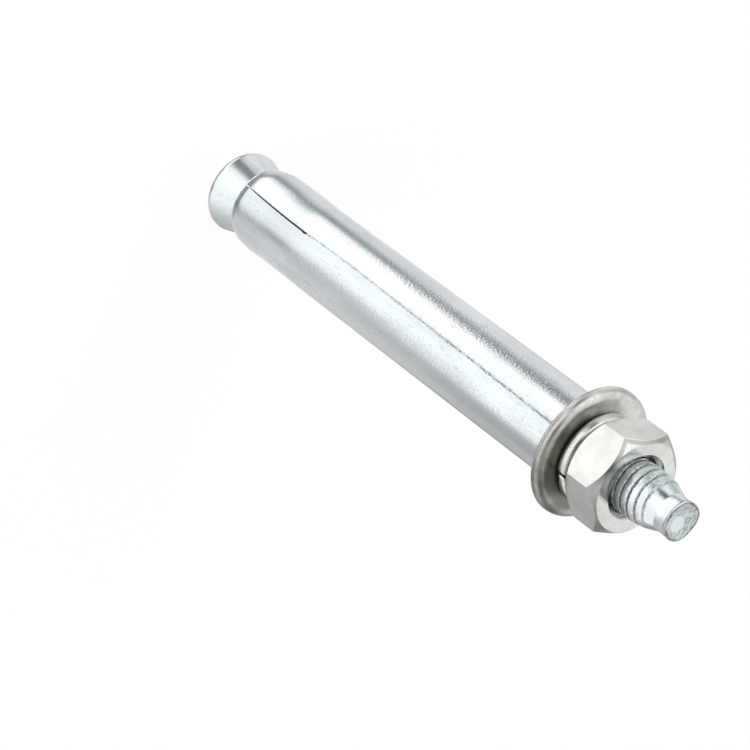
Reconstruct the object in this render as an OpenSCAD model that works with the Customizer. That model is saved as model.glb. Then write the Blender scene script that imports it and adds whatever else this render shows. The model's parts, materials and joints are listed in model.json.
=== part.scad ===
// Expansion bolt for walls and slabs. A stud with a cone head carries a slotted sleeve, a flat washer, a spring
// washer and a hexagon nut. Turning the nut draws the cone into the sleeve, and the cone spreads the petals.
// The bolt stands on its head: the flat face of the head is at z = 0 and the threaded end points up.

/* [Cone head] */
// Diameter of the head's rim, just under the drill hole's
head_d = 11.8; // [10:0.1:13]
// Height of the straight rim below the cone
rim_h = 0.7; // [0.4:0.1:1.5]
// Rounding of the rim's lower edge
rim_round = 0.3; // [0.1:0.05:0.4]
// Angle between the cone's flank and the axis
cone_angle = 14.5; // [10:0.5:20]
// Diameter of the centre mark left in the head's face
mark_d = 0.9; // [0.5:0.1:1.5]
// Depth of the centre mark
mark_depth = 0.15; // [0.05:0.05:0.4]

/* [Stud] */
// Diameter of the plain shank inside the sleeve
shank_d = 6.7; // [5.5:0.1:7]
// Diameter over the crests of the thread
thread_d = 7.3; // [7:0.1:8]
// Length of the full thread
thread_l = 44; // [30:1:50]
// Full thread that stands out of the nut
thread_out = 2.7; // [2:0.1:20]
// Length of the slope from the shank up to the thread's crests
thread_runout = 1.0; // [0.5:0.1:2]
// Length over which the last turns taper off
taper_l = 2.4; // [1:0.1:4]
// Diameter over the last turn of the taper
taper_d = 6.5; // [6:0.1:6.9]
// Length of the cone between the taper and the neck
neck_cone_l = 1.3; // [0.5:0.1:3]
// Diameter of the neck behind the sheared end
neck_d = 5.3; // [4.5:0.1:5.6]
// Length from the neck to the sheared end
end_l = 2.1; // [1:0.1:5]
// Diameter of the sheared end, which flares a little from the cut
end_d = 5.6; // [4.8:0.05:6]
// Broken edge round the sheared end
end_break = 0.25; // [0.1:0.05:0.5]

/* [Sleeve] */
// Outside diameter of the sleeve
sleeve_d = 11.8; // [11:0.1:12.5]
// Wall thickness of the rolled strip
sleeve_wall = 1.15; // [0.8:0.05:1.4]
// Length of the sleeve
sleeve_l = 70; // [55:1:120]
// Radius of the rounded outer edge at the mouth
mouth_round = 0.45; // [0.2:0.05:0.7]
// Broken outer edge at the washer's end of the sleeve
sleeve_edge = 0.2; // [0.05:0.05:0.4]
// Number of slots, one of them on the seam
slot_count = 4; // [3:1:6]
// Length of a slot from the mouth to its round end
slot_l = 15.1; // [10:0.1:25]
// Width of the punched slots
slot_w = 1.0; // [0.6:0.1:1.8]
// Width of the slot on the seam, which closes up as the strip is rolled
seam_slot_w = 0.5; // [0.3:0.05:1.0]
// Width of the seam's groove
seam_w = 0.16; // [0.1:0.02:0.3]
// Depth of the seam's groove
seam_depth = 0.25; // [0.1:0.05:0.4]

/* [Flat washer] */
// Outside diameter of the flat washer
washer_d = 18; // [16:0.1:22]
// Hole in the flat washer
washer_hole = 8.6; // [8:0.1:9]
// Thickness of the flat washer
washer_t = 1.6; // [1:0.1:2.5]
// Radius of the rolled-over outer edge on the nut's side
washer_roll = 1.1; // [0.4:0.1:1.4]
// Broken lower edge of the washer's rim
washer_edge = 0.2; // [0.05:0.05:0.3]

/* [Spring washer] */
// Outside diameter of the spring washer
spring_d = 12.8; // [12.5:0.1:14]
// Hole in the spring washer
spring_hole = 8.5; // [8:0.1:9]
// Thickness of the ring at its bore
spring_t = 1.7; // [1.5:0.1:2.6]
// Bevel that thins the ring towards its outer face, on each side
spring_bevel = 0.22; // [0.05:0.01:0.4]
// How far one end stands above the other
spring_rise = 0.3; // [0.3:0.1:2]
// Opening between the two ends, as an angle
spring_gap = 3.5; // [2:0.5:15]
// Slant of the cut from the axis
spring_cut = 20; // [0:1:30]
// Place of the cut round the axis
spring_at = 320; // [0:5:355]

/* [Hexagon nut] */
// Width across the flats
nut_af = 13; // [12:0.1:14]
// Height of the nut
nut_h = 6; // [4.5:0.1:8]
// Diameter of the flat ring left by the chamfers
nut_face_d = 12.6; // [10.5:0.1:12.8]
// Angle of the chamfers from the nut's faces
nut_chamfer = 45; // [20:1:50]
// Diameter of the countersinks
sink_d = 9; // [8.2:0.1:9.5]
// Place of one corner round the axis
nut_corner = 5; // [0:1:59]

/* [Clearances] */
// Between the cone and the sleeve's mouth
mouth_gap = 0.03; // [0.02:0.01:0.1]
// End play of the sleeve below the flat washer
sleeve_play = 0.6; // [0.3:0.1:0.9]
// Running clearance between thread and nut, on the radius
thread_gap = 0.06; // [0.02:0.01:0.1]

/* [Hidden] */
$fn = 96;
overrun = 1;
arc_steps = 6;

// Cone: the radius falls by this much for each millimetre of height
cone_slope = tan(cone_angle);
cone_l = (head_d - shank_d) / 2 / cone_slope;

// The sleeve's mouth sits where its bore meets the cone
sleeve_r = sleeve_d / 2;
bore_r = sleeve_r - sleeve_wall;
mouth_z = rim_h + (head_d / 2 - bore_r + mouth_gap) / cone_slope;
sleeve_top = mouth_z + sleeve_l;

// Washers and nut stack up above the sleeve
washer_z = sleeve_top + sleeve_play;
spring_z = washer_z + washer_t;
spring_h = spring_t + spring_rise;
nut_z = spring_z + spring_h;
nut_top = nut_z + nut_h;

// The stud's end is measured from the nut
thread_top = nut_top + thread_out;
thread_base = thread_top - thread_l;
taper_top = thread_top + taper_l;
neck_z = taper_top + neck_cone_l;
end_z = neck_z + end_l;

nut_bore_r = thread_d / 2 + thread_gap;
spring_steps = 84;

// Points of an arc round (x, y), for profiles
function arc(x, y, r, from, to) =
    [for (i = [0:arc_steps]) let (a = from + (to - from) * i / arc_steps) [x + r * cos(a), y + r * sin(a)]];

// Stud, cold formed in one piece: head, cone, shank, thread and the end left by the shear
module cone_bolt() {
    head_r = head_d / 2;
    shank_r = shank_d / 2;
    color("lightsteelblue")
        rotate_extrude()
            polygon(concat(
                [[0, mark_depth], [mark_d / 2, 0]],
                arc(head_r - rim_round, rim_round, rim_round, -90, 0),
                [[head_r, rim_h], [shank_r, rim_h + cone_l]],
                [[shank_r, thread_base - thread_runout], [thread_d / 2, thread_base]],
                [[thread_d / 2, thread_top], [taper_d / 2, taper_top], [neck_d / 2, neck_z]],
                [[end_d / 2, end_z - end_break], [end_d / 2 - end_break, end_z], [0, end_z]]
            ));
}

// One slot through the wall at -Y, from below the mouth to its round end
module slot(width) {
    round_r = width / 2;
    straight_l = slot_l - round_r + overrun;
    rotate([90, 0, 0])
        linear_extrude(sleeve_d)
            translate([0, mouth_z - overrun]) {
                translate([-round_r, 0])
                    square([width, straight_l]);
                translate([0, straight_l])
                    circle(r = round_r);
            }
}

// Strip rolled to a tube. The seam and the narrow slot on it face -Y
module expansion_sleeve() {
    color("gainsboro")
        difference() {
            rotate_extrude()
                polygon(concat(
                    [[bore_r, mouth_z]],
                    arc(sleeve_r - mouth_round, mouth_z + mouth_round, mouth_round, -90, 0),
                    [[sleeve_r, sleeve_top - sleeve_edge], [sleeve_r - sleeve_edge, sleeve_top]],
                    [[bore_r, sleeve_top]]
                ));
            slot(seam_slot_w);
            for (i = [1:slot_count - 1])
                rotate([0, 0, i * 360 / slot_count])
                    slot(slot_w);
            translate([-seam_w / 2, -sleeve_r - overrun, mouth_z + slot_l - overrun])
                cube([seam_w, overrun + seam_depth, sleeve_l - slot_l + 2 * overrun]);
        }
}

// Punched washer: sharp towards the sleeve, rolled over towards the nut
module flat_washer() {
    washer_r = washer_d / 2;
    washer_top = washer_z + washer_t;
    color("darkgray")
        rotate_extrude()
            polygon(concat(
                [[washer_hole / 2, washer_z], [washer_r - washer_edge, washer_z], [washer_r, washer_z + washer_edge]],
                arc(washer_r - washer_roll, washer_top - washer_roll, washer_roll, 0, 90),
                [[washer_hole / 2, washer_top]]
            ));
}

// Split ring. It falls as it turns anticlockwise, so that its raised end bites when the nut is loosened
module spring_washer() {
    inner = spring_hole / 2;
    outer = spring_d / 2;
    section = [[inner, 0], [outer, spring_bevel], [outer, spring_t - spring_bevel], [inner, spring_t]];
    sides = len(section);
    sweep = 360 - spring_gap;
    lean = tan(spring_cut) / outer * 180 / PI;
    points = [
        for (i = [0:spring_steps], p = section)
            let (turn = i / spring_steps,
                 a = spring_at + spring_gap / 2 + sweep * turn + lean * (p[1] - spring_t / 2),
                 z = spring_z + spring_rise * (1 - turn) + p[1])
            [p[0] * cos(a), p[0] * sin(a), z]
    ];
    start = [for (k = [0:sides - 1]) k];
    finish = [for (k = [sides - 1:-1:0]) spring_steps * sides + k];
    skin = [
        for (i = [0:spring_steps - 1], k = [0:sides - 1], half = [0, 1])
            let (a = i * sides + k, b = i * sides + (k + 1) % sides)
            half == 0 ? [a, a + sides, b + sides] : [a, b + sides, b]
    ];
    color("silver")
        polyhedron(points = points, faces = concat([start, finish], skin), convexity = 4);
}

// Hexagon with a cone turned over both ends, bored and countersunk for the thread
module hex_nut() {
    corner_r = nut_af / 2 / cos(30);
    cone_r = corner_r + overrun;
    cone_drop = (cone_r - nut_face_d / 2) * tan(nut_chamfer);
    sink = sink_d / 2 - nut_bore_r;
    color("whitesmoke")
        difference() {
            intersection() {
                translate([0, 0, nut_z])
                    rotate([0, 0, nut_corner])
                        cylinder(r = corner_r, h = nut_h, $fn = 6);
                rotate_extrude()
                    polygon([
                        [0, nut_z], [nut_face_d / 2, nut_z], [cone_r, nut_z + cone_drop],
                        [cone_r, nut_top - cone_drop], [nut_face_d / 2, nut_top], [0, nut_top]
                    ]);
            }
            translate([0, 0, nut_z - overrun])
                cylinder(r = nut_bore_r, h = nut_h + 2 * overrun);
            translate([0, 0, nut_z])
                cylinder(r1 = sink_d / 2, r2 = nut_bore_r, h = sink);
            translate([0, 0, nut_top - sink])
                cylinder(r1 = nut_bore_r, r2 = sink_d / 2, h = sink);
        }
}

cone_bolt();
expansion_sleeve();
flat_washer();
spring_washer();
hex_nut();
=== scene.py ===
"""Sleeve expansion bolt: the detailed pieces, their finishes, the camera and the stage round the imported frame.

Sizes are in metres. The bolt stands on its head, with its axis on Z and the sleeve's seam facing -Y.
"""

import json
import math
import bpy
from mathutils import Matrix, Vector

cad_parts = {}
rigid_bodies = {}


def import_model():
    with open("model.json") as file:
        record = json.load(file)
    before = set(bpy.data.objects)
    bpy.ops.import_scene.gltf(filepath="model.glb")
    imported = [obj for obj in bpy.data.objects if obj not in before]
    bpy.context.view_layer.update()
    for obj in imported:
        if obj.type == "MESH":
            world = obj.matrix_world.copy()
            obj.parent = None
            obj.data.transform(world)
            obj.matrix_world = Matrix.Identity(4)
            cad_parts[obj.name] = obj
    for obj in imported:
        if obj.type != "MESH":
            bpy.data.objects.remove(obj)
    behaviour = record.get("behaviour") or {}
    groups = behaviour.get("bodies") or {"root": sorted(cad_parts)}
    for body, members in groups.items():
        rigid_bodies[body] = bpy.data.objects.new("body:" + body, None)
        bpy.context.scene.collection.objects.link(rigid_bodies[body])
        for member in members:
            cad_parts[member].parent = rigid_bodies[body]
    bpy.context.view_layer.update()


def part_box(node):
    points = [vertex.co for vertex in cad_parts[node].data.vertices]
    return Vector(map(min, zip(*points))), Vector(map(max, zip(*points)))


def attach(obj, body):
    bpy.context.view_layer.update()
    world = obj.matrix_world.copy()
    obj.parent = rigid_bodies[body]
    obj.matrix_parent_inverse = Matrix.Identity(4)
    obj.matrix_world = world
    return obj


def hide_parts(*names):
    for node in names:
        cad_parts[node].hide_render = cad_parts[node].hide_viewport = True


bl_info = {
    "name": "Expansion Bolt",
    "version": (1, 0, 0),
    "blender": (4, 5, 0),
    "location": "View3D > Sidebar > Bolt",
    "description": "Builds the stud, sleeve, washers and nut of an expansion bolt, with finishes and a stage",
    "category": "Object",
}

import bpy
import numpy as np
from mathutils import Matrix, Vector

for leftover in list(bpy.data.objects):
    bpy.data.objects.remove(leftover)

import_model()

MM = 0.001
MICRON = 0.000001
FULL_TURN = 2 * math.pi
TINY = 1e-12

# Columns of a turned surface, and how far apart two points may be and still become one
COLUMNS = 96
WELD = 1e-8

# Two heights closer than this are level
HAIR = 1e-7

# How fast the marks of turned work change round the axis
METRES_A_RADIAN = 0.0012

# Width of the rounding on hard edges
BROKEN_EDGE = 0.05 * MM

STUD_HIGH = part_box("cone_bolt")[1]
SLEEVE_LOW, SLEEVE_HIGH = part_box("expansion_sleeve")
WASHER_LOW, WASHER_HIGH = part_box("flat_washer")
SPRING_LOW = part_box("spring_washer")[0]
NUT_LOW, NUT_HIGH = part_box("hex_nut")


# Surfaces


def round_corners(corners, radii, steps=5):
    """Round the corners of a line. Each arc touches both of its corner's sides, and lies on the circle of the
    given radius. A point of an arc is its centre plus the two end spokes, weighted by the sines of the angles
    to them."""
    corners = np.asarray(corners, float)
    radii = np.asarray(radii, float)
    before = np.roll(corners, 1, axis=0) - corners
    after = np.roll(corners, -1, axis=0) - corners
    before /= np.maximum(np.linalg.norm(before, axis=1, keepdims=True), TINY)
    after /= np.maximum(np.linalg.norm(after, axis=1, keepdims=True), TINY)
    opening = np.arccos(np.clip((before * after).sum(axis=1), -1, 1))
    half_opening = np.maximum(opening, 1e-3) / 2
    run = radii / np.tan(half_opening)
    middle = before + after
    middle /= np.maximum(np.linalg.norm(middle, axis=1, keepdims=True), TINY)
    centre = corners + middle * (radii / np.sin(half_opening))[:, None]
    first = corners + before * run[:, None] - centre
    last = corners + after * run[:, None] - centre
    bend = np.maximum(math.pi - opening, 1e-6)[:, None]
    share = np.linspace(0, 1, steps)
    near = (np.sin((1 - share) * bend) / np.sin(bend))[:, :, None]
    far = (np.sin(share * bend) / np.sin(bend))[:, :, None]
    arcs = centre[:, None, :] + near * first[:, None, :] + far * last[:, None, :]
    line = arcs.reshape(-1, 2)
    keep = np.ones(len(line), bool)
    keep[1:] = np.linalg.norm(np.diff(line, axis=0), axis=1) > WELD
    return line[keep]


def brace(line, near):
    """Add a point close to each end of every long straight run, which keeps its shading flat."""
    step = np.diff(line, axis=0)
    length = np.linalg.norm(step, axis=1)
    share = (near / np.maximum(length, TINY))[:, None]
    rows = np.stack([line[:-1], line[:-1] + step * share, line[1:] - step * share], axis=1)
    keep = np.stack([length >= 0, length > 4 * near, length > 4 * near], axis=1)
    return np.vstack([rows[keep], line[-1:]])


def smooth_step(value, low, high):
    """0 below low and 1 above high, with an even S between them."""
    share = np.clip((value - low) / (high - low), 0, 1)
    return share * share * (3 - 2 * share)


def ripple(angle, height, waves):
    """A sum of sine waves. Each has waves round the axis, waves to the metre along it, a phase and a size."""
    total = np.zeros(np.broadcast(angle, height).shape)
    for around, along, phase, size in waves:
        total = total + size * np.sin(around * angle + FULL_TURN * along * height + phase)
    return total


def turned(angles, radii, heights):
    """Points at the given angles, distances from the axis and heights."""
    angles, radii, heights = np.broadcast_arrays(angles, radii, heights)
    return np.stack([radii * np.cos(angles), radii * np.sin(angles), heights], axis=-1)


def grid_faces(points, first=0):
    """The four corners of each cell of a grid of points, numbered from first."""
    rows, columns = points.shape[:2]
    index = first + np.arange(rows * columns).reshape(rows, columns)
    cells = [index[:-1, :-1], index[:-1, 1:], index[1:, 1:], index[1:, :-1]]
    return np.stack(cells, axis=-1).reshape(-1, 4)


def make_piece(name, grids, material, body, node, sharp_angle=32):
    """Weld grids of points to one closed mesh and put it in the scene in place of a node of the frame.
    Points that fall together become one, cells with no width go, and the faces are turned outwards."""
    starts = np.cumsum([0] + [grid.shape[0] * grid.shape[1] for grid in grids])
    points = np.vstack([grid.reshape(-1, 3) for grid in grids])
    cells = np.vstack([grid_faces(grid, start) for grid, start in zip(grids, starts)])
    keys = np.round(points / WELD).astype(np.int64)
    kept, merged = np.unique(keys, axis=0, return_index=True, return_inverse=True)[1:]
    points = points[kept]
    cells = merged.reshape(-1)[cells]
    corner_kept = cells != np.roll(cells, 1, axis=1)
    sizes = corner_kept.sum(axis=1)
    whole = (sizes > 2) & (cells[:, 0] != cells[:, 2]) & (cells[:, 1] != cells[:, 3])
    cells, corner_kept, sizes = cells[whole], corner_kept[whole], sizes[whole]
    a, b, c, d = (points[cells[:, k]] for k in range(4))
    volume = (np.einsum("ij,ij->i", a, np.cross(b, c)) + np.einsum("ij,ij->i", a, np.cross(c, d))).sum()
    if volume < 0:
        cells, corner_kept = cells[:, ::-1], corner_kept[:, ::-1]
    corners = cells[corner_kept]
    used, corners = np.unique(corners, return_inverse=True)
    mesh = bpy.data.meshes.new(name)
    mesh.vertices.add(len(used))
    mesh.vertices.foreach_set("co", points[used].ravel())
    mesh.loops.add(len(corners))
    mesh.loops.foreach_set("vertex_index", corners.reshape(-1).astype(np.int32))
    mesh.polygons.add(len(sizes))
    mesh.polygons.foreach_set("loop_start", (np.cumsum(sizes) - sizes).astype(np.int32))
    mesh.update(calc_edges=True)
    mesh.validate()
    mesh.set_sharp_from_angle(angle=math.radians(sharp_angle))
    mesh.materials.append(material)
    piece = bpy.data.objects.new(name, mesh)
    bpy.context.scene.collection.objects.link(piece)
    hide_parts(node)
    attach(piece, body)
    return piece


def break_edges(piece, angle):
    """Round the piece's edges that are sharper than the angle, in degrees."""
    bevel = piece.modifiers.new("Broken edges", "BEVEL")
    bevel.width = BROKEN_EDGE
    bevel.segments = 3
    bevel.limit_method = "ANGLE"
    bevel.angle_limit = math.radians(angle)
    bevel.harden_normals = True
    bevel.use_clamp_overlap = True


def thread_form(pitch, crest_width, depth, crest_round, root_round):
    """One pitch of a thread with flanks 30 degrees off square: the place of each row as a share of the pitch, from
    the middle of a crest, and its height as a share of the depth."""
    half = crest_width / 2
    foot = half + depth * math.tan(math.radians(30))
    corners = [[-pitch / 2, 0], [-foot, 0], [-half, depth], [half, depth], [foot, 0], [pitch / 2, 0]]
    radii = [0, root_round, crest_round, crest_round, root_round, 0]
    line = round_corners(corners, radii, steps=4)[:-1]
    return line[:, 0] / pitch, line[:, 1] / depth


def thread_rows(angles, marks, levels, low, high, crest_height, pitch):
    """Rows that climb one pitch in each turn, as a right-hand thread does, cut off level at low and high. A row's
    height is the crest's height, plus its mark and whole turns of pitch, plus the share of a turn made so far.
    One more row on each side lies wholly on the cut, and closes it."""
    turns = np.arange(math.floor((low - crest_height) / pitch) - 2, math.ceil((high - crest_height) / pitch) + 2)
    marks, levels = np.asarray(marks), np.asarray(levels)
    base = (turns[:, None] + marks).reshape(-1)
    heights = crest_height + (base[:, None] + angles / FULL_TURN) * pitch
    inside = (heights.max(axis=1) >= low) & (heights.min(axis=1) <= high)
    reached = np.flatnonzero(inside)
    inside[[reached[0] - 1, reached[-1] + 1]] = True
    heights = np.clip(heights[inside], low, high)
    return heights, np.tile(levels, len(turns))[inside][:, None]


# Finishes


class Wire:
    """A socket of a shader. Arithmetic on it adds Math nodes, and numbers may stand on either side."""

    def __init__(self, tree, socket):
        self.tree = tree
        self.socket = socket

    def math(self, operation, *others):
        """The operation on this socket and any others or numbers."""
        return add_node(self.tree, "ShaderNodeMath", {"operation": operation}, dict(enumerate([self, *others])))

    def __add__(self, other):
        return self.math("ADD", other)

    def __sub__(self, other):
        return self.math("SUBTRACT", other)

    def __rsub__(self, other):
        return self.math("MULTIPLY_ADD", -1.0, other)

    def __mul__(self, other):
        return self.math("MULTIPLY", other)

    def __truediv__(self, other):
        return self.math("DIVIDE", other)

    __radd__ = __add__
    __rmul__ = __mul__

    def between(self, low, high):
        """0 below low and 1 above high, with an even S between them."""
        settings = {"interpolation_type": "SMOOTHSTEP"}
        inputs = {"Value": self, "From Min": low, "From Max": high}
        return add_node(self.tree, "ShaderNodeMapRange", settings, inputs)


def add_node(tree, kind, settings=None, inputs=None, output=0):
    """Add a node: its settings first, a ramp's stops among them, then the values or links of its sockets."""
    made = tree.nodes.new(kind)
    for key, value in (settings or {}).items():
        if key == "stops":
            ramp = made.color_ramp.elements
            ramp.remove(ramp[1])
            for k, (place, level) in enumerate(value):
                stop = ramp.new(place) if k else ramp[0]
                stop.position = place
                stop.color = (level, level, level, 1)
        else:
            setattr(made, key, value)
    for key, value in (inputs or {}).items():
        if isinstance(value, Wire):
            tree.links.new(value.socket, made.inputs[key])
        elif isinstance(value, tuple) and len(value) == 3 and made.inputs[key].type == "RGBA":
            made.inputs[key].default_value = (*value, 1)
        else:
            made.inputs[key].default_value = value
    return Wire(tree, made.outputs[output]) if made.outputs else None


def blend(tree, factor, first, second):
    """The first colour where the factor is 0 and the second where it is 1."""
    return add_node(tree, "ShaderNodeMix", {"data_type": "RGBA"}, {0: factor, 6: first, 7: second}, output=2)


def noise(tree, where, grain, stretch=(1, 1, 1), detail=3.0):
    """Noise with grains of the given size in metres, longer along an axis whose stretch is above 1."""
    scale = tuple(1 / (grain * share) for share in stretch)
    scaled = add_node(tree, "ShaderNodeVectorMath", {"operation": "MULTIPLY"}, {0: where, 1: scale})
    return add_node(tree, "ShaderNodeTexNoise", None, {"Vector": scaled, "Scale": 1.0, "Detail": detail})


def axes(tree, where):
    """The three numbers of a vector."""
    parts = add_node(tree, "ShaderNodeSeparateXYZ", None, {0: where}).socket.node.outputs
    return [Wire(tree, part) for part in parts]


def distance(x, y):
    """Distance from the origin in a plane."""
    return (x * x + y * y).math("SQRT")


def turned_place(tree, place):
    """A place that follows turned work: distance from the axis, height, and a slow change round the axis."""
    x, y, z = axes(tree, place)
    around = y.math("ARCTAN2", x) * METRES_A_RADIAN
    return add_node(tree, "ShaderNodeCombineXYZ", None, {0: distance(x, y), 1: around, 2: z})


def empty_tree(owner):
    """The node tree of a material or world, with nothing in it."""
    owner.use_nodes = True
    owner.node_tree.nodes.clear()
    return owner.node_tree


def metal(name, tone, shade, roughness, build):
    """A plated metal. The build function returns the share of shade in the colour, what is added to the roughness,
    and the height for the bump in thousandths of a millimetre."""
    tone, shade = tuple(tone), tuple(shade)
    material = bpy.data.materials.new(name)
    tree = empty_tree(material)
    place = add_node(tree, "ShaderNodeTexCoord", output=3)
    dark, rough, height = build(tree, place)
    colour = blend(tree, dark, tone, shade)
    bump = add_node(tree, "ShaderNodeBump", None, {"Strength": 1.0, "Distance": 1.0, "Height": MICRON * height})
    inputs = {"Base Color": colour, "Roughness": roughness + rough, "Normal": bump}
    surface = add_node(tree, "ShaderNodeBsdfPrincipled", None, inputs | {"Metallic": 1.0})
    add_node(tree, "ShaderNodeOutputMaterial", None, {"Surface": surface})
    material.diffuse_color = (*tone, 1)
    return material


def sleeve_finish(s):
    """Bright zinc on rolled strip: fine lengthwise streaks, a pebbled skin, small specks and a faint cloud.
    Towards the washer the skin is coarser at the -X side, and the strip's edges are rubbed beside the seam."""
    # The seam leans. It is at seam_x at the height seam_z, and gains seam_lean of what the height gains
    seam_x, seam_z, seam_lean = -0.14 * MM, 30 * MM, 0.0157

    def build(tree, place):
        x, y, z = axes(tree, place)
        streak = noise(tree, place, 0.2 * MM, (1, 1, 26), 4.0)
        grain = noise(tree, place, 0.26 * MM, (1, 1, 1.5), 2.0)
        cloud = noise(tree, place, 3.5 * MM, (1, 1, 3))
        speck = noise(tree, place, 0.22 * MM, (1, 1, 1.6), 2.0).between(0.64, 0.72)
        scuff = noise(tree, place, 0.9 * MM, (1, 1, 2.5), 4.0).between(0.6, 0.72)
        coarse = z.between(20 * MM, 65 * MM) * (1 - x.between(-3.6 * MM, -1.8 * MM))
        off_seam = (x - seam_x - seam_lean * (z - seam_z)).math("ABSOLUTE")
        on_front = 1 - y.between(-5 * MM, 0.0)
        beside = (1 - off_seam.between(0.1 * MM, 0.4 * MM)) * on_front * z.between(20 * MM, 60 * MM)
        rubbed = beside * noise(tree, place, 0.3 * MM, (1, 1, 2.2)).between(0.45, 0.58)

        dark = 0.3 * streak + 0.35 * cloud.between(0.25, 0.75) + 0.5 * speck + 0.3 * scuff + 0.7 * rubbed
        rough = 0.18 * cloud + 0.06 * streak - 0.1 + 0.08 * scuff + 0.12 * rubbed
        height = 5 * streak + (11 + 26 * coarse) * grain - 6 * speck - 20 * rubbed
        return dark, rough, height

    return metal("Bright zinc, drawn", s.tone, s.shade, s.roughness, build)


def stud_finish(s, end_height):
    """Glossy bluish zinc. Shade is painted along the thread's roots, and the sheared end is rough round a smooth
    patch."""
    head_height = 12 * MM
    face_radius = 2.7 * MM

    def build(tree, place):
        x, y, z = axes(tree, place)
        grain = noise(tree, place, 0.13 * MM, detail=4.0)
        ragged = noise(tree, place, 0.45 * MM)
        cloud = noise(tree, place, 2 * MM, (1, 1, 1.5))
        speck = noise(tree, place, 0.2 * MM, detail=2.0).between(0.62, 0.7)
        on_head = 1 - z.between(head_height - 3 * MM, head_height)
        scuff = noise(tree, place, 0.5 * MM, (1, 1, 2), 4.0).between(0.5, 0.62) * on_head

        # Roots: from_root is the share of the pitch between a place and the nearest root, wandering a little
        past_thread = z - s.thread_high
        threaded = z.between(s.thread_low, s.thread_low + 0.8 * MM) * (1 - past_thread.between(-1.2 * MM, 0.0))
        wander = 0.14 * (cloud - 0.5) + 0.22 * (grain - 0.5) + 0.4 * (ragged - 0.5)
        climb = (z - s.crest_height) / s.pitch - y.math("ARCTAN2", x) / FULL_TURN + wander
        from_root = (climb.math("FRACT") - 0.5).math("ABSOLUTE") + 0.25 * (ragged - 0.5)
        # Painted shade along the thread's roots, thinned out in patches over the last turns
        root = (1 - from_root.between(0.09, 0.18)) * threaded * grain.between(0.25, 0.45)
        root = root * (1 - 0.75 * past_thread.between(-3.8 * MM, -1.2 * MM) * ragged.between(0.35, 0.55))

        # The last turns are torn, most of all at the -X side
        flecks = (0.85 * ragged + 0.15 * grain).between(0.49, 0.57)
        torn = flecks * past_thread.between(-3.5 * MM, -2.2 * MM) * threaded
        torn = torn * (1 - 0.85 * x.between(-2 * MM, 1 * MM))

        # Sheared end: a smooth patch beside the middle, torn metal round it, and a burr with a dark band just
        # below it
        past_end = z - end_height
        radius = distance(x, y)
        end = past_end.between(-0.3 * MM, -0.12 * MM) * (1 - radius.between(face_radius - 0.08 * MM, face_radius))
        rough_end = end * distance(x - 0.6 * MM, y + 0.2 * MM).between(0.9 * MM, 1.4 * MM)
        cluster = noise(tree, place, 0.9 * MM, (1.4, 0.9, 1), 2.0).between(0.34, 0.52)
        gouge = noise(tree, place, 0.26 * MM, (2.2, 0.8, 1), 6.0).between(0.49, 0.58) * cluster
        lip = past_end.between(-0.036 * MM, -0.024 * MM) * radius.between(2.1 * MM, 2.3 * MM)
        burr = past_end.between(-0.5 * MM, -0.34 * MM) * (1 - past_end.between(-0.16 * MM, -0.1 * MM))
        burr = burr * radius.between(2.55 * MM, 2.66 * MM) * grain.between(0.36, 0.5)

        dark = 0.16 * cloud + 0.25 * speck + 0.07 * scuff + 0.88 * root + 0.15 * torn
        dark = dark + rough_end * (0.09 + 0.44 * gouge) + 0.6 * burr + lip * (0.25 + 0.5 * grain)
        rough = 0.14 * cloud - 0.07 + 0.2 * rough_end + 0.1 * root + 0.1 * end + 0.09 * threaded
        height = 7 * grain - 4 * speck - 30 * rough_end * gouge + 50 * torn + 40 * threaded * ragged
        return dark.math("MINIMUM", 1.0), rough, height

    return metal("Bright zinc, cold formed", s.tone, s.shade, s.roughness, build)


def painted_chamfer_line(x, y, flats, corner):
    """1 on a hexagon's chamfers close to its flats, where a dark reflection is painted, and 0 elsewhere. The
    largest distance from the axis along the normals of the three pairs of flats tells how far a place is from the
    nearest flat."""
    reach = 0.0
    for k in range(3):
        normal = corner + (2 * k + 1) * math.pi / 6
        reach = (x * math.cos(normal) + y * math.sin(normal)).math("ABSOLUTE").math("MAXIMUM", reach)
    inset = flats - reach
    return inset.between(0.04 * MM, 0.07 * MM) * (1 - inset.between(0.25 * MM, 0.6 * MM))


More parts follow.
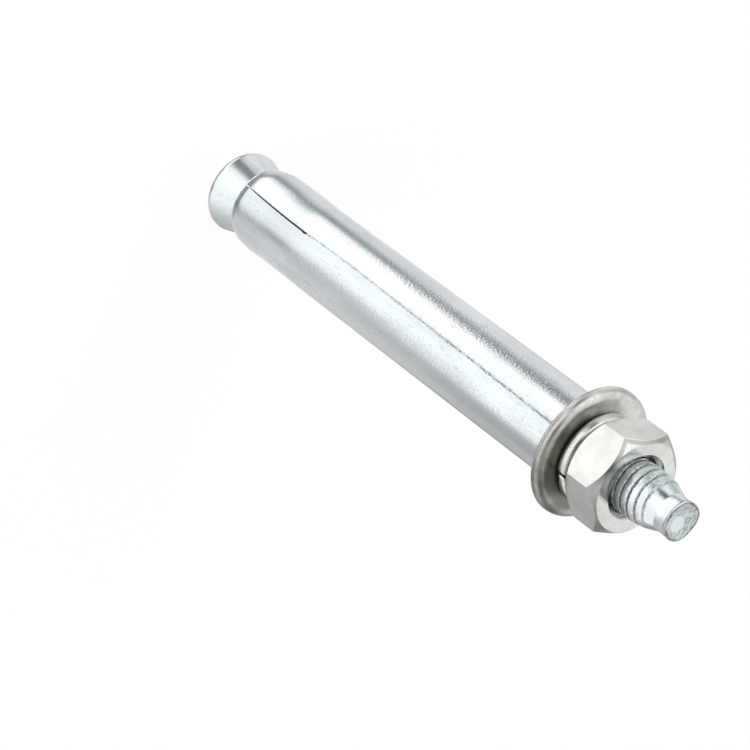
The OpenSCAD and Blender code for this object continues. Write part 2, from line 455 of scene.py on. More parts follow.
def turned_finish(name, tone, shade, roughness, streaks, pits, stain_and_shade_radii, side=(0.0, 0.0), shaded_both_sides=False, hexagon=None):
    """Plated steel with marks that run round the axis, a fine grain and small pits. Streaks is the height of the
    marks in thousandths of a millimetre. Painted shade and stain start at the larger of the two distances from
    the axis and are full at the smaller one. Side is where more shade is painted, and the opposite side is painted
    lighter unless shaded_both_sides paints it as dark. Hexagon is a nut's half width and the place of a corner."""

    def build(tree, place):
        x, y = axes(tree, place)[:2]
        radius = distance(x, y)
        streak = noise(tree, turned_place(tree, place), 0.12 * MM, (1, 6, 1))
        grain = noise(tree, place, 0.13 * MM, detail=4.0)
        cloud = noise(tree, place, 2.5 * MM, detail=4.0)
        pit = pits * noise(tree, place, 0.3 * MM, detail=2.0).between(0.63, 0.7)
        # How far a place lies towards the side where shade is painted
        toward_shaded_side = (x * side[0] + y * side[1]) / radius
        # Painted shade, partly stain, towards the axis where the piece meets its neighbours
        stain_and_shade = 1 - (radius + 1.2 * MM * (cloud - 0.5)).between(*stain_and_shade_radii)
        dark = 0.15 * streak + (0.12 + 0.5 * pits) * cloud.between(0.3, 0.7) + 0.45 * pit
        # The painted shade and stain are deeper on the shaded side and lighter on the opposite side
        dark = dark + stain_and_shade * (0.35 + 0.3 * toward_shaded_side)
        # Painted shade on the side that side points to, and painted light on the opposite side, or painted shade
        # there too when both sides are shaded
        dark = dark + 0.2 * toward_shaded_side.math("MAXIMUM", -1.0 * toward_shaded_side if shaded_both_sides else -0.9)
        if hexagon:
            # Painted dark reflection: a line on the chamfers beside the flats, on the -X side only
            dark = dark + 1.1 * painted_chamfer_line(x, y, *hexagon) * (1 - x.between(-0.5 * MM, 4.2 * MM))
        rough = 0.16 * cloud + 0.06 * grain - 0.1 + 0.06 * stain_and_shade
        height = streaks * streak + 8 * grain - 20 * pit
        return dark.math("MINIMUM", 1.0).math("MAXIMUM", 0.0), rough, height

    return metal(name, tone, shade, roughness, build)


# Settings


def length(name, description, default):
    """A size in metres."""
    return bpy.props.FloatProperty(
        name=name, description=description, default=default, min=0, precision=5, subtype="DISTANCE", unit="LENGTH"
    )


def colour(name, description, default):
    """A base colour of a metal."""
    return bpy.props.FloatVectorProperty(
        name=name, description=description, default=default, size=3, min=0, max=1, subtype="COLOR"
    )


def share(name, description, default):
    """A number between 0 and 1."""
    return bpy.props.FloatProperty(
        name=name, description=description, default=default, min=0, max=1, subtype="FACTOR"
    )


def angle(name, description, degrees):
    """An angle, whose default is given in degrees."""
    return bpy.props.FloatProperty(
        name=name, description=description, default=math.radians(degrees), subtype="ANGLE", unit="ROTATION"
    )


class BOLT_PG_stud(bpy.types.PropertyGroup):
    rim_height: length("Rim height", "Height of the straight rim of the cone head", 0.7 * MM)
    rim_round: length("Rim rounding", "Rounding of the rim's edge round the flat face", 0.3 * MM)
    rim_taper: length("Rim taper", "How much narrower the rim is at the flat face", 0.085 * MM)
    mark_radius: length("Centre mark radius", "Radius of the mark in the head's face", 0.45 * MM)
    mark_depth: length("Centre mark depth", "Depth of the mark in the head's face", 0.15 * MM)
    cone_top: length("Cone top", "Height at which the cone meets the shank", 10.56 * MM)
    shank_radius: length("Shank radius", "Radius of the plain shank", 3.35 * MM)
    thread_low: length("Thread start", "Height at which the thread runs out on the shank", 43.16 * MM)
    thread_full: length("Full thread end", "Height at which the full thread ends", 88.0 * MM)
    thread_high: length("Thread end", "Height at which the last turn has faded", 90.8 * MM)
    crest_radius: length("Crest radius", "Radius over the crests of the thread", 3.65 * MM)
    root_radius: length("Root radius", "Radius at the roots of the thread", 3.37 * MM)
    crest_width: length("Crest width", "Width of the flat crests", 0.88 * MM)
    pitch: length("Pitch", "Rise of the thread in one turn", 1.25 * MM)
    crest_height: length("Crest place", "Height of a crest's middle at the +X side", 43.59 * MM)
    neck_height: length("Neck height", "Height of the narrow neck", 91.8 * MM)
    neck_radius: length("Neck radius", "Radius of the narrow neck", 2.66 * MM)
    end_radius: length("End radius", "Mean radius of the sheared end", 2.75 * MM)
    tone: colour("Tone", "Colour of the zinc", (0.755, 0.81, 0.817))
    # Shade is the colour of stained zinc and of the painted shade in the thread's roots
    shade: colour("Shade", "Colour of stained zinc", (0.15, 0.19, 0.19))
    roughness: share("Roughness", "Roughness of the zinc", 0.2)


class BOLT_PG_sleeve(bpy.types.PropertyGroup):
    wall: length("Wall", "Thickness of the rolled strip", 1.15 * MM)
    slot_length: length("Slot length", "Length of a slot from the mouth to its round end", 15.1 * MM)
    slot_width: length("Slot width", "Width of the punched slots", 1.0 * MM)
    seam_slot_width: length("Seam slot width", "Width of the slot that lies on the seam", 0.26 * MM)
    seam_width: length("Seam width", "Mean width of the seam", 0.23 * MM)
    seam_depth: length("Seam depth", "Depth of the seam's groove", 0.11 * MM)
    mouth_round: length("Mouth rounding", "Rounding of the outer edge at the mouth", 0.12 * MM)
    top_round: length("Top rounding", "Rounding of the outer edge at the washer's end", 0.2 * MM)
    tone: colour("Tone", "Colour of the zinc", (0.776, 0.817, 0.828))
    shade: colour("Shade", "Colour of stained zinc", (0.475, 0.53, 0.548))
    roughness: share("Roughness", "Roughness of the zinc", 0.16)


class BOLT_PG_washers(bpy.types.PropertyGroup):
    hole: length("Washer hole", "Radius of the flat washer's hole", 4.3 * MM)
    roll: length("Rolled edge", "Radius of the rolled outer edge on the nut's side", 0.98 * MM)
    spring_bore: length("Spring washer bore", "Radius of the spring washer's hole", 4.25 * MM)
    spring_radius: length("Spring washer radius", "Outside radius of the spring washer", 6.4 * MM)
    spring_taper: length("Spring washer taper", "How much narrower the ring is towards the nut", 0.22 * MM)
    spring_thickness: length("Spring washer thickness", "Thickness of the ring at its bore", 1.75 * MM)
    spring_bevel: length("Spring washer bevel", "How much each face falls towards the rim", 0.1 * MM)
    spring_rise: length("Spring washer rise", "How far one end stands above the other", 0.25 * MM)
    spring_gap: angle("Spring washer gap", "Opening of the cut", 3.5)
    spring_place: angle("Cut place", "Place of the cut round the axis", 320)
    spring_slant: angle("Cut slant", "Slant of the cut from the axis", 20)
    flat_tone: colour("Flat washer tone", "Colour of the flat washer", (0.67, 0.672, 0.635))
    # Flat washer shade is the colour of its stains and of its painted shade
    flat_shade: colour("Flat washer shade", "Colour of the flat washer's stains", (0.21, 0.21, 0.182))
    spring_tone: colour("Spring washer tone", "Colour of the spring washer", (0.76, 0.75, 0.72))
    # Spring washer shade is the colour of its stains and of its painted shade
    spring_shade: colour("Spring washer shade", "Colour of its stains", (0.34, 0.33, 0.305))
    roughness: share("Flat washer roughness", "Roughness of the flat washer", 0.3)
    spring_roughness: share("Spring washer roughness", "Roughness of the spring washer", 0.22)


class BOLT_PG_nut(bpy.types.PropertyGroup):
    across_flats: length("Across flats", "Width across the flats", 13.0 * MM)
    face_radius: length("Face radius", "Radius of the flat ring left by the chamfers", 6.3 * MM)
    chamfer: angle("Chamfer", "Angle of the chamfers", 45)
    turn: angle("Turn", "Place of a corner round the axis", 5)
    sink_radius: length("Countersink radius", "Radius of the countersinks", 4.5 * MM)
    minor_radius: length("Minor radius", "Radius over the tips of the nut's thread", 3.47 * MM)
    major_radius: length("Major radius", "Radius at the bottom of the nut's thread", 3.82 * MM)
    tip_width: length("Tip width", "Width of the tips of the nut's thread", 0.08 * MM)
    tone: colour("Tone", "Colour of the zinc", (0.8, 0.805, 0.78))
    # Shade is the colour of stained zinc, of the nut's painted shade and of the painted dark reflection on its
    # chamfers
    shade: colour("Shade", "Colour of stained zinc", (0.405, 0.41, 0.39))
    roughness: share("Roughness", "Roughness of the zinc", 0.14)


class BOLT_PG_stage(bpy.types.PropertyGroup):
    floor_size: length("Floor size", "Width of the floor", 6.0)
    floor_glow: share("Floor glow", "Share of the floor's white that shadows don't reach", 0.93)
    lamp_power: bpy.props.FloatProperty(
        name="Lamp power", description="Power of each soft lamp", default=1.8, min=0, unit="POWER"
    )


# Pieces


# For each petal from the seam on: how far it stands out, how far its tip is turned in, and over what length
PETALS = [
    (-0.13 * MM, 0.36 * MM, 1.7 * MM),
    (0.05 * MM, 0.42 * MM, 2.4 * MM),
    (-0.06 * MM, 0.4 * MM, 2.2 * MM),
    (0.2 * MM, 0.46 * MM, 2.8 * MM),
]


# The seam wanders as the strip was rolled: heights above the mouth, and degrees round the axis
SEAM_HEIGHTS = np.array([0.0, 3.4, 7.5, 11.3, 15.1, 18.5, 25.0, 60.0, 70.0]) * MM
SEAM_RUN = np.array([-5.0, -2.7, -1.0, 0.0, 0.4, -0.9, -1.4, 4.0, 5.5])


class BOLT_OT_stud(bpy.types.Operator):
    """Build the stud: cone head, shank, rolled thread and sheared end"""

    bl_idname = "bolt.stud"
    bl_label = "Stud"

    def execute(self, context):
        s = context.scene.bolt_stud
        angles = np.linspace(0, FULL_TURN, COLUMNS + 1)
        head_radius = STUD_HIGH.x
        end_height = STUD_HIGH.z

        # Head, cone and shank: a profile turned about the axis
        mark_round, rim_top_round, cone_blend = 0.1 * MM, 0.12 * MM, 2.0 * MM
        corners = [
            [0, s.mark_depth], [s.mark_radius, 0], [head_radius - s.rim_taper, 0], [head_radius, s.rim_height],
            [s.shank_radius, s.cone_top], [s.shank_radius, s.thread_low],
        ]
        radii = [0, mark_round, s.rim_round, rim_top_round, cone_blend, 0]
        lower = brace(round_corners(corners, radii), 0.12 * MM)
        below = turned(angles, lower[:, 0:1], lower[:, 1:2])

        # Thread: rows along the helix, with a depth that grows from the shank and fades at the end
        crest_round, root_round = 0.06 * MM, 0.01 * MM
        runout, fade = 1.2 * MM, 1.6 * MM
        fading_crest, fading_root, faded = 3.42 * MM, 3.2 * MM, 3.02 * MM
        depth = s.crest_radius - s.root_radius
        marks, levels = thread_form(s.pitch, s.crest_width, depth, crest_round, root_round)
        heights, level = thread_rows(angles, marks, levels, s.thread_low, s.thread_high, s.crest_height, s.pitch)
        knots = [s.thread_low, s.thread_low + runout, s.thread_full, s.thread_full + fade, s.thread_high]
        crest = np.interp(heights, knots, [s.shank_radius, s.crest_radius, s.crest_radius, fading_crest, faded])
        root = np.interp(heights, knots, [s.shank_radius, s.root_radius, s.root_radius, fading_root, faded])
        torn = smooth_step(heights, s.thread_full - 0.6 * MM, s.thread_full + 1.2 * MM)
        torn = torn * (1 - smooth_step(heights, s.thread_high - 0.3 * MM, s.thread_high))
        tear_waves = [(9, 310, 0.4, 0.016 * MM), (17, -640, 1.9, 0.012 * MM), (5, 180, 2.7, 0.018 * MM)]
        radius = root + (crest - root) * level + torn * ripple(angles, heights, tear_waves)
        thread = turned(angles, radius, heights)

        # Neck and end: the outline turns from round to the rounded square that the shear leaves. The waves of the
        # outline are shares of the radius
        square_waves = [(4, 0, 4.71, 0.03), (3, 0, 0.6, 0.014), (8, 0, 1.57, 0.004)]
        rim_radius, rim_height = s.end_radius - 0.08 * MM, end_height - 0.01 * MM
        upper = np.array([
            [faded, s.thread_high], [2.86 * MM, s.thread_high + 0.45 * MM], [s.neck_radius, s.neck_height],
            [s.neck_radius + 0.03 * MM, s.neck_height + 0.9 * MM], [s.end_radius, end_height - 0.35 * MM],
            [s.end_radius + 0.02 * MM, end_height - 0.12 * MM], [rim_radius, rim_height],
        ])
        fine = np.linspace(0, len(upper) - 1, 40)
        rise = np.stack([np.interp(fine, np.arange(len(upper)), upper[:, k]) for k in range(2)], axis=1)
        radius, height = rise[:, 0:1], rise[:, 1:2]
        square = smooth_step(height, s.thread_high, end_height - 0.8 * MM)
        outline = ripple(angles, height, square_waves)
        neck = turned(angles, radius * (1 + square * outline), height)

        # Face of the end: a low ring along the rim round a hollow, with shear marks
        inward = np.linspace(1, 0, 24)[:, None]
        hollow = 0.09 * MM * (1 - smooth_step(inward, 0.55, 0.9)) + 0.02 * MM
        shear_waves = [(3, 0, 0.9, 0.02 * MM), (7, 0, 2.1, 0.012 * MM), (12, 0, 0.2, 0.008 * MM)]
        grain = ripple(angles + 9 * inward, inward, shear_waves) * smooth_step(inward, 0.1, 0.6)
        face_height = rim_height - (hollow + np.abs(grain)) * smooth_step(1 - inward, 0.03, 0.14)
        face_radius = rim_radius * inward * (1 + outline[-1:] * smooth_step(inward, 0, 0.5))
        face = turned(angles, face_radius, face_height)

        grids = [below, thread, neck, face]
        finish = stud_finish(s, end_height)
        make_piece("stud", grids, finish, "bolt", "cone_bolt", sharp_angle=40)
        return {"FINISHED"}


class BOLT_OT_sleeve(bpy.types.Operator):
    """Build the sleeve: rolled strip with four slots at the mouth and a butt seam"""

    bl_idname = "bolt.sleeve"
    bl_label = "Sleeve"

    def execute(self, context):
        s = context.scene.bolt_sleeve
        outer = -SLEEVE_LOW.x
        inner = outer - s.wall
        mouth, top = SLEEVE_LOW.z, SLEEVE_HIGH.z
        slot_end = mouth + s.slot_length

        # Heights of the rows: the mouth, the slots with their round ends, the seam and the top edge
        arc = np.linspace(0, math.pi / 2, 9)
        bottom_rows = mouth + s.mouth_round * (1 - np.cos(arc))
        end_rows = slot_end - s.slot_width / 2 * np.cos(np.linspace(0, math.pi / 2, 11))
        seam_end_rows = slot_end - s.seam_slot_width / 2 * np.cos(np.linspace(0, math.pi / 2, 8))
        slot_rows = bottom_rows[-1] + (end_rows[0] - bottom_rows[-1]) * np.linspace(0, 1, 34) ** 1.5
        seam_rows = np.linspace(slot_end, top - s.top_round, 190)
        top_rows = top - s.top_round * (1 - np.sin(arc))
        rows = np.unique(
            np.round(np.hstack([bottom_rows, slot_rows, end_rows, seam_end_rows, seam_rows, top_rows]), 9)
        )
        rows = rows[np.hstack([True, np.diff(rows) > 2 * MICRON])]
        from_mouth = np.clip((rows - mouth) / s.mouth_round, 0, 1)
        from_top = np.clip((top - rows) / s.top_round, 0, 1)
        edges = s.mouth_round * (1 - np.sqrt(1 - (1 - from_mouth) ** 2))
        edges = edges + s.top_round * (1 - np.sqrt(1 - (1 - from_top) ** 2))

        # Each petal stands out or in by its own amount towards the mouth. Its tip is turned in over the cone, down
        # to a narrow straight lip. The bed is the depth at which a slot's chamfer or the seam's groove ends
        lip, chamfer, least_skin = 0.26 * MM, 0.25 * MM, 0.05 * MM
        depth = np.where(rows < slot_end, chamfer, s.seam_depth)
        across = np.linspace(0, 1, 25)
        crown = 0.72 + 0.28 * np.sin(math.pi * across)
        freedom = smooth_step(slot_end - rows, 0.5 * MM, 9 * MM)
        clear_of_cone = smooth_step(rows, mouth, mouth + 1.5 * MM)
        outsides, beds, insides = [], [], []
        for stand, turned_in, reach in PETALS:
            tip = (1 - np.clip((rows - mouth - lip) / (reach - lip), 0, 1)) ** 1.8
            outside = outer - (edges + turned_in * tip)[:, None] + (stand * freedom)[:, None] * crown
            outsides.append(outside)
            beds.append(np.minimum((outer - depth)[:, None], outside - least_skin))
            insides.append(inner + (stand * freedom * clear_of_cone)[:, None] * crown)

        # Half widths of the slots and of the seam, as angles
        def slot_half(width, taper=0.0):
            into_end = np.clip(rows - (slot_end - width / 2), 0, width / 2)
            half = np.sqrt(np.maximum((width / 2) ** 2 - into_end**2, 0)) * (rows < slot_end - HAIR)
            return half / outer * (1 - taper * np.clip((slot_end - rows) / s.slot_length, 0, 1))

        seam_waves = [(0, 420, 0.3, 0.3), (0, 1130, 1.7, 0.35), (0, 1610, 0.9, 0.35), (0, 95, 2.2, 0.25)]
        seam_half = s.seam_width / 2 / outer * np.clip(1 + ripple(0, rows, seam_waves), 0.12, 2.2)
        seam_fade = 0.4 * MM
        seam_half = seam_half * smooth_step(rows, slot_end - seam_fade, slot_end)
        seam_slot = slot_half(s.seam_slot_width, 0.4)
        hook_size, hook_drop, hook_spread = 0.14 * MM, 0.26 * MM, 0.16 * MM
        hook = hook_size / outer * np.exp(-(((rows - slot_end + hook_drop) / hook_spread) ** 2))
        hooked = seam_slot + hook * (seam_slot > 0)
        run = np.radians(np.interp(rows, mouth + SEAM_HEIGHTS, SEAM_RUN))
        punched = slot_half(s.slot_width)
        slot_starts = [run + hooked, punched, punched, punched]
        slot_stops = [seam_slot - run, punched, punched, punched]
        edge_starts = [run + np.maximum(hooked, seam_half), punched, punched, punched]
        edge_stops = [np.maximum(seam_slot, seam_half) - run, punched, punched, punched]

        grids = []
        quarter = math.pi / 2
        in_slot = rows <= slot_end + HAIR

        def angles_at(start, first, last):
            return start + first[:, None] + across * (quarter - first - last)[:, None]

        for k in range(4):
            start = -quarter + k * quarter
            following = (k + 1) % 4
            outside, bed, inside = outsides[k], beds[k], insides[k]

            # One closed strip: up the outside, over the top, down the bore and across the mouth
            outside_angles = angles_at(start, edge_starts[k], edge_stops[following])
            inside_angles = angles_at(start, slot_starts[k], slot_stops[following])
            strip_angles = np.vstack([
                outside_angles, inside_angles[-1:], inside_angles[::-1], inside_angles[:1], outside_angles[:1]
            ])
            strip_radii = np.vstack([outside, bed[-1:], inside[::-1], bed[:1], outside[:1]])
            strip_heights = np.hstack([rows, top, rows[::-1], mouth, mouth])
            grids.append(turned(strip_angles, strip_radii, strip_heights[:, None]))

            # The two walls of the slot, which stop at its round end, and the seam's groove above it
            walls = [(1, k, 0, edge_starts[k], slot_starts[k]), (-1, k - 1, -1, edge_stops[k], slot_stops[k])]
            for side, petal, column, edge, slot in walls:
                out, deep_out, deep_in = (a[petal][:, column] for a in (outsides, beds, insides))
                reach = np.full(len(rows), True) if k == 0 else in_slot
                wall_angles = start + side * np.stack([edge, slot], axis=1)
                wall = turned(wall_angles[reach], np.stack([out, deep_out], axis=1)[reach], rows[reach][:, None])
                deep_angles = start + side * np.stack([slot, slot], axis=1)
                deep_radii = np.stack([deep_out, deep_in], axis=1)
                deep = turned(deep_angles[in_slot], deep_radii[in_slot], rows[in_slot][:, None])
                grids += [wall[:, ::-side], deep[:, ::-side]]

        piece = make_piece("sleeve", grids, sleeve_finish(s), "sleeve", "expansion_sleeve")
        break_edges(piece, 40)
        return {"FINISHED"}


class BOLT_OT_washers(bpy.types.Operator):
    """Build the flat washer and the split spring washer"""

    bl_idname = "bolt.washers"
    bl_label = "Washers"

    def execute(self, context):
        s = context.scene.bolt_washers
        angles = np.linspace(0, FULL_TURN, COLUMNS + 1)
        rim, low, high = WASHER_HIGH.x, WASHER_LOW.z, WASHER_HIGH.z

        # Flat washer: a rounded section turned about the axis, a little uneven as punched. A groove in the rim
        # shows where the punch's cut ended
        hole_round, rim_round, top_round, sharp = 0.12 * MM, 0.18 * MM, 0.2 * MM, 0.02 * MM
        cut_end, groove, groove_width, step = low + 0.46 * MM, 0.07 * MM, 0.13 * MM, 0.02 * MM
        corners = [
            [s.hole, low], [rim, low], [rim, cut_end], [rim - groove, cut_end + groove],
            [rim - step, cut_end + groove_width], [rim - step, high], [s.hole, high],
        ]
        radii = [hole_round, rim_round, sharp, sharp, sharp, s.roll, top_round]
        line = round_corners(corners, radii, steps=9)
        line = brace(np.vstack([line, line[:1]]), 0.1 * MM)
        outward = smooth_step(line[:, 0:1], s.hole, rim)
        radius_waves = [(2, 0, 0.5, 0.02 * MM), (5, 0, 1.2, 0.008 * MM)]
        uneven = outward * (ripple(angles, line[:, 1:2], radius_waves) - 0.028 * MM)
        sag_waves = [(2, 0, 2.0, 0.03 * MM), (3, 0, 0.4, 0.02 * MM)]
        on_top = smooth_step(line[:, 1:2], low + 0.3 * MM, high) * outward
        sag = on_top * (ripple(angles, line[:, 1:2], sag_waves) - 0.05 * MM)
        points = turned(angles, line[:, 0:1] + uneven, line[:, 1:2] + sag)
        # The flat washer's finish paints shade, partly stain, towards the spring washer, more shade towards +X and
        # -Y, and lighter tone on the opposite side
        finish = turned_finish(
            "Dull zinc, punched", s.flat_tone, s.flat_shade, s.roughness, streaks=3, pits=0.7,
            stain_and_shade_radii=(6.3 * MM, 8.4 * MM), side=(1.9, -0.7)
        )
        make_piece("washer", [points], finish, "washers", "flat_washer")

        # Spring washer: a rounded section carried round the axis while it falls, capped at the slanted cut
        outside = s.spring_radius
        bevel, thick = s.spring_bevel, s.spring_thickness
        upper = outside - s.spring_taper
        bore_round, lower_round, upper_round = 0.12 * MM, 0.55 * MM, 0.65 * MM
        section = [[s.spring_bore, 0], [outside, bevel], [upper, thick - bevel], [s.spring_bore, thick]]
        line = round_corners(section, [bore_round, lower_round, upper_round, bore_round], steps=9)
        line = brace(np.vstack([line, line[:1]]), 0.08 * MM)
        middle = line[:-1].mean(axis=0)
        cut_round, cut_inset = 0.24 * MM, 0.86
        turn = np.hstack([[0, 0, 0], np.linspace(0, 1, 145)[1:-1], [1, 1, 1]])
        inset = np.ones_like(turn)
        inset[[0, -1]] = 0
        inset[[1, -2]] = cut_inset
        edge = np.zeros_like(turn)
        edge[2], edge[-3] = cut_round, -cut_round
        radial = middle[0] + (line[:, 0] - middle[0]) * inset[:, None]
        axial = middle[1] + (line[:, 1] - middle[1]) * inset[:, None]
        lean = math.tan(s.spring_slant) / outside
        sweep = FULL_TURN - s.spring_gap
        around = s.spring_place + s.spring_gap / 2 + sweep * turn + edge / outside
        around = around[:, None] + lean * (axial - thick / 2)
        height = SPRING_LOW.z + s.spring_rise * (1 - turn)[:, None] + axial
        # The spring washer's finish paints shade, partly stain, towards its bore
        finish = turned_finish(
            "Semi-bright zinc, wound", s.spring_tone, s.spring_shade, s.spring_roughness, streaks=4, pits=0.5,
            stain_and_shade_radii=(5.2 * MM, 6 * MM)
        )
        points = turned(around, radial, height)
        make_piece("spring_ring", [points], finish, "washers", "spring_washer")
        return {"FINISHED"}


class BOLT_OT_nut(bpy.types.Operator):
    """Build the hexagon nut with its chamfers, countersinks and inner thread"""

    bl_idname = "bolt.nut"
    bl_label = "Nut"

    def execute(self, context):
        s = context.scene.bolt_nut
        stud = context.scene.bolt_stud
        low, high = NUT_LOW.z, NUT_HIGH.z
        angles = s.turn + np.linspace(0, FULL_TURN, COLUMNS + 1)

        # Outside: the hexagon's distance from the axis, met by the cone of each chamfer
        sixth = FULL_TURN / 6
        within = np.mod(angles - s.turn + 1e-9, sixth) - sixth / 2
        flats = s.across_flats / 2 / np.cos(within)
        drop = (flats - s.face_radius) * math.tan(s.chamfer)
        ones = np.ones_like(angles)
        sink, face = s.sink_radius * ones, s.face_radius * ones
        radii = [sink, face, flats, flats, face, sink]
        heights = [low * ones, low * ones, low + drop, high - drop, high * ones, high * ones]
        shell = turned(angles, np.array(radii), np.array(heights))

        # Inside: the thread that runs in the stud's groove, cut back by the two countersinks
        groove = stud.crest_height + stud.pitch / 2
        tip_round, root_round = 0.04 * MM, 0.05 * MM
        depth = s.major_radius - s.minor_radius
        marks, levels = thread_form(stud.pitch, s.tip_width, depth, tip_round, root_round)
        rows, level = thread_rows(angles, marks, levels, low, high, groove, stud.pitch)
        wall = s.major_radius - depth * level
        countersink = s.sink_radius - np.minimum(rows - low, high - rows)
        bore = turned(angles, np.maximum(wall, countersink), rows)

        # The nut's finish paints shade, partly stain, in its bore, shade on the faces towards +X and -X, and a
        # dark reflection on its chamfers
        finish = turned_finish(
            "Satin zinc", s.tone, s.shade, s.roughness, streaks=1, pits=0.24,
            stain_and_shade_radii=(3.6 * MM, 4.4 * MM), side=(1.3, 0.1), shaded_both_sides=True, hexagon=(s.across_flats / 2, s.turn)
        )
        piece = make_piece("nut", [shell, bore[:, ::-1]], finish, "nut", "hex_nut", sharp_angle=28)
        break_edges(piece, 28)
        return {"FINISHED"}


# Stage


CAMERA_PLACE = (0.031756, -0.312631, 0.318817)
CAMERA_RIGHT = (-0.652565, 0.475823, 0.589705)
CAMERA_UP = (-0.755759, -0.464866, -0.461225)
CAMERA_BACK = (0.054672, -0.746654, 0.662962)
CAMERA_LENS = 153.6
CAMERA_SENSOR = 36

# Light of the studio round the compass, as shares of a turn, in four rings from well below eye level to above it
STUDIO_STRENGTH = 2.0
DEEP_RING = [
    (0.0, 0.98), (0.06, 0.94), (0.11, 0.84), (0.165, 0.86), (0.195, 0.76), (0.222, 0.46), (0.25, 0.33),
    (0.262, 0.42), (0.276, 1.0), (0.292, 1.6), (0.42, 1.6), (0.45, 1.25), (0.5, 1.22), (0.53, 1.33), (0.556, 1.26),
    (0.583, 1.08), (0.612, 0.76), (0.64, 0.36), (0.668, 0.56), (0.7, 0.8), (0.75, 0.86), (0.8, 0.8), (0.86, 0.84),
    (0.93, 0.78), (0.97, 0.87), (1.0, 0.98),
]
LOW_RING = [
    (0.0, 0.42), (0.06, 0.72), (0.11, 0.9), (0.165, 0.95), (0.25, 1.0), (0.275, 0.72), (0.298, 0.14),
    (0.336, 0.14), (0.355, 0.95), (0.385, 1.6), (0.44, 1.55), (0.5, 1.33), (0.61, 1.6), (0.667, 1.6),
    (0.69, 0.85), (0.72, 0.5), (0.775, 0.4), (0.82, 0.57), (0.9, 0.58), (0.955, 0.32), (1.0, 0.42),
]
LEVEL_RING = [
    (0.0, 0.8), (0.11, 0.85), (0.16, 0.62), (0.21, 0.62), (0.28, 1.2), (0.322, 1.0), (0.342, 0.2),
    (0.388, 0.12), (0.412, 1.0), (0.45, 1.45), (0.52, 1.5), (0.6, 1.18), (0.72, 1.15), (0.8, 1.15),
    (0.845, 0.45), (0.885, 0.26), (0.93, 0.5), (1.0, 0.8),
]
HIGH_RING = [
    (0.0, 1.1), (0.12, 1.1), (0.24, 1.35), (0.37, 1.45), (0.44, 0.8), (0.472, 0.17), (0.528, 0.17), (0.6, 0.5),
    (0.68, 0.66), (0.76, 0.45), (0.82, 0.25), (0.9, 0.4), (1.0, 1.15),
]
RING_SLANT = 0.07
RING_START = math.radians(95.8)
TOP_LIGHT = 1.0
BELOW_LIGHT = 0.3

# Between which heights each ring passes into the next, where -1 is straight down and 1 straight up
BELOW_TO_DEEP = (-0.94, -0.84)
DEEP_TO_LOW = (-0.7, -0.62)
LOW_TO_LEVEL = (-0.52, -0.32)
LEVEL_TO_HIGH = (0.1, 0.45)
HIGH_TO_TOP = (0.8, 0.95)


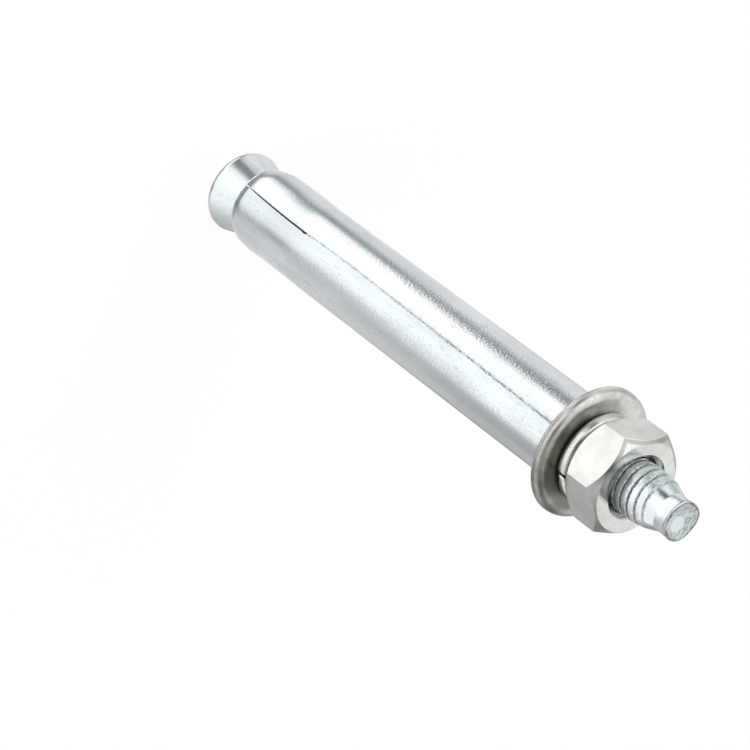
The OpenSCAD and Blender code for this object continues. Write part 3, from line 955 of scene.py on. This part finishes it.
class BOLT_OT_stage(bpy.types.Operator):
    """Set up the floor, the studio light and the camera"""

    bl_idname = "bolt.stage"
    bl_label = "Stage"

    def execute(self, context):
        s = context.scene.bolt_stage
        scene = context.scene
        scene.view_settings.view_transform = "Standard"
        self.add_camera(scene)
        self.add_floor(scene, s)
        self.add_lamps(scene, s)
        self.add_world(scene)
        return {"FINISHED"}

    def add_camera(self, scene):
        data = bpy.data.cameras.new("camera")
        data.lens = CAMERA_LENS
        data.sensor_width = CAMERA_SENSOR
        data.clip_start = 0.01
        data.clip_end = 20
        camera = bpy.data.objects.new("camera", data)
        facing = Matrix((CAMERA_RIGHT, CAMERA_UP, CAMERA_BACK)).transposed()
        camera.matrix_world = Matrix.Translation(CAMERA_PLACE) @ facing.to_4x4()
        scene.collection.objects.link(camera)
        scene.camera = camera

    def add_floor(self, scene, s):
        half = s.floor_size / 2
        corners = [(-half, -half, 0), (half, -half, 0), (half, half, 0), (-half, half, 0)]
        mesh = bpy.data.meshes.new("floor")
        mesh.from_pydata(corners, [], [(0, 1, 2, 3)])
        floor = bpy.data.objects.new("floor", mesh)
        scene.collection.objects.link(floor)
        floor.visible_glossy = False
        floor.visible_shadow = False
        material = bpy.data.materials.new("Pale floor")
        tree = empty_tree(material)
        lit = add_node(tree, "ShaderNodeBsdfDiffuse", None, {"Color": (0.86, 0.86, 0.86)})
        glow = add_node(tree, "ShaderNodeEmission", None, {"Color": (1.0, 1.0, 1.0), "Strength": 1.0})
        seen = add_node(tree, "ShaderNodeLightPath", output=0)
        surface = add_node(tree, "ShaderNodeMixShader", None, {0: seen * s.floor_glow, 1: lit, 2: glow})
        add_node(tree, "ShaderNodeOutputMaterial", None, {"Surface": surface})
        mesh.materials.append(material)

    def add_lamps(self, scene, s):
        places = {"key": (0.35, -0.45, 0.75), "fill": (-0.6, -0.2, 0.6)}
        for name, place in places.items():
            data = bpy.data.lights.new(name, "AREA")
            data.shape = "DISK"
            data.size = 0.6
            data.energy = s.lamp_power
            lamp = bpy.data.objects.new(name, data)
            lamp.rotation_mode = "QUATERNION"
            lamp.rotation_quaternion = Vector(place).to_track_quat("Z", "Y")
            lamp.location = place
            lamp.visible_glossy = False
            scene.collection.objects.link(lamp)

    def add_world(self, scene):
        """A soft studio. Its light changes round the compass, in four rings one above the other."""
        world = bpy.data.worlds.new("studio")
        scene.world = world
        tree = empty_tree(world)
        x, y, z = axes(tree, add_node(tree, "ShaderNodeTexCoord", output=0))
        turn = (y.math("ARCTAN2", x) - RING_START) / FULL_TURN

        def ring(levels, moved=0.0):
            stops = [(place, level / STUDIO_STRENGTH) for place, level in levels]
            return add_node(tree, "ShaderNodeValToRGB", {"stops": stops}, {0: (turn + moved).math("FRACT")})

        # The dark edges slant from the deep ring to the low one
        rise = z.between(*DEEP_TO_LOW)
        studio = blend(tree, rise, ring(DEEP_RING, -RING_SLANT * rise), ring(LOW_RING, RING_SLANT * (1 - rise)))
        studio = blend(tree, z.between(*LOW_TO_LEVEL), studio, ring(LEVEL_RING))
        studio = blend(tree, z.between(*LEVEL_TO_HIGH), studio, ring(HIGH_RING))
        studio = blend(tree, z.between(*HIGH_TO_TOP), studio, (TOP_LIGHT / STUDIO_STRENGTH,) * 3)
        studio = blend(tree, z.between(*BELOW_TO_DEEP), (BELOW_LIGHT / STUDIO_STRENGTH,) * 3, studio)
        light = add_node(tree, "ShaderNodeBackground", None, {"Color": studio, "Strength": STUDIO_STRENGTH})
        white = add_node(tree, "ShaderNodeBackground", None, {"Color": (1.0, 1.0, 1.0), "Strength": 1.0})
        seen = add_node(tree, "ShaderNodeLightPath", output=0)
        surface = add_node(tree, "ShaderNodeMixShader", None, {0: seen, 1: light, 2: white})
        add_node(tree, "ShaderNodeOutputWorld", None, {"Surface": surface})


class BOLT_PT_panel(bpy.types.Panel):
    """Sizes and finishes of the bolt, and the steps that build it"""

    bl_idname = "BOLT_PT_panel"
    bl_label = "Expansion Bolt"
    bl_space_type = "VIEW_3D"
    bl_region_type = "UI"
    bl_category = "Bolt"

    def draw(self, context):
        for operator, group, name in STEPS:
            box = self.layout.box()
            box.operator(operator.bl_idname)
            for setting in group.__annotations__:
                box.prop(getattr(context.scene, name), setting)


# Each operator, its settings and their name in the scene
STEPS = [
    (BOLT_OT_stud, BOLT_PG_stud, "bolt_stud"),
    (BOLT_OT_sleeve, BOLT_PG_sleeve, "bolt_sleeve"),
    (BOLT_OT_washers, BOLT_PG_washers, "bolt_washers"),
    (BOLT_OT_nut, BOLT_PG_nut, "bolt_nut"),
    (BOLT_OT_stage, BOLT_PG_stage, "bolt_stage"),
]
CLASSES = [*(step[1] for step in STEPS), *(step[0] for step in STEPS), BOLT_PT_panel]


def register():
    for cls in CLASSES:
        bpy.utils.register_class(cls)
    for _, group, name in STEPS:
        setattr(bpy.types.Scene, name, bpy.props.PointerProperty(type=group))


def unregister():
    for _, _, name in STEPS:
        delattr(bpy.types.Scene, name)
    for cls in reversed(CLASSES):
        bpy.utils.unregister_class(cls)


def main():
    register()
    bpy.ops.bolt.stud()
    bpy.ops.bolt.sleeve()
    bpy.ops.bolt.washers()
    bpy.ops.bolt.nut()
    bpy.ops.bolt.stage()


if __name__ == "__main__":
    main()
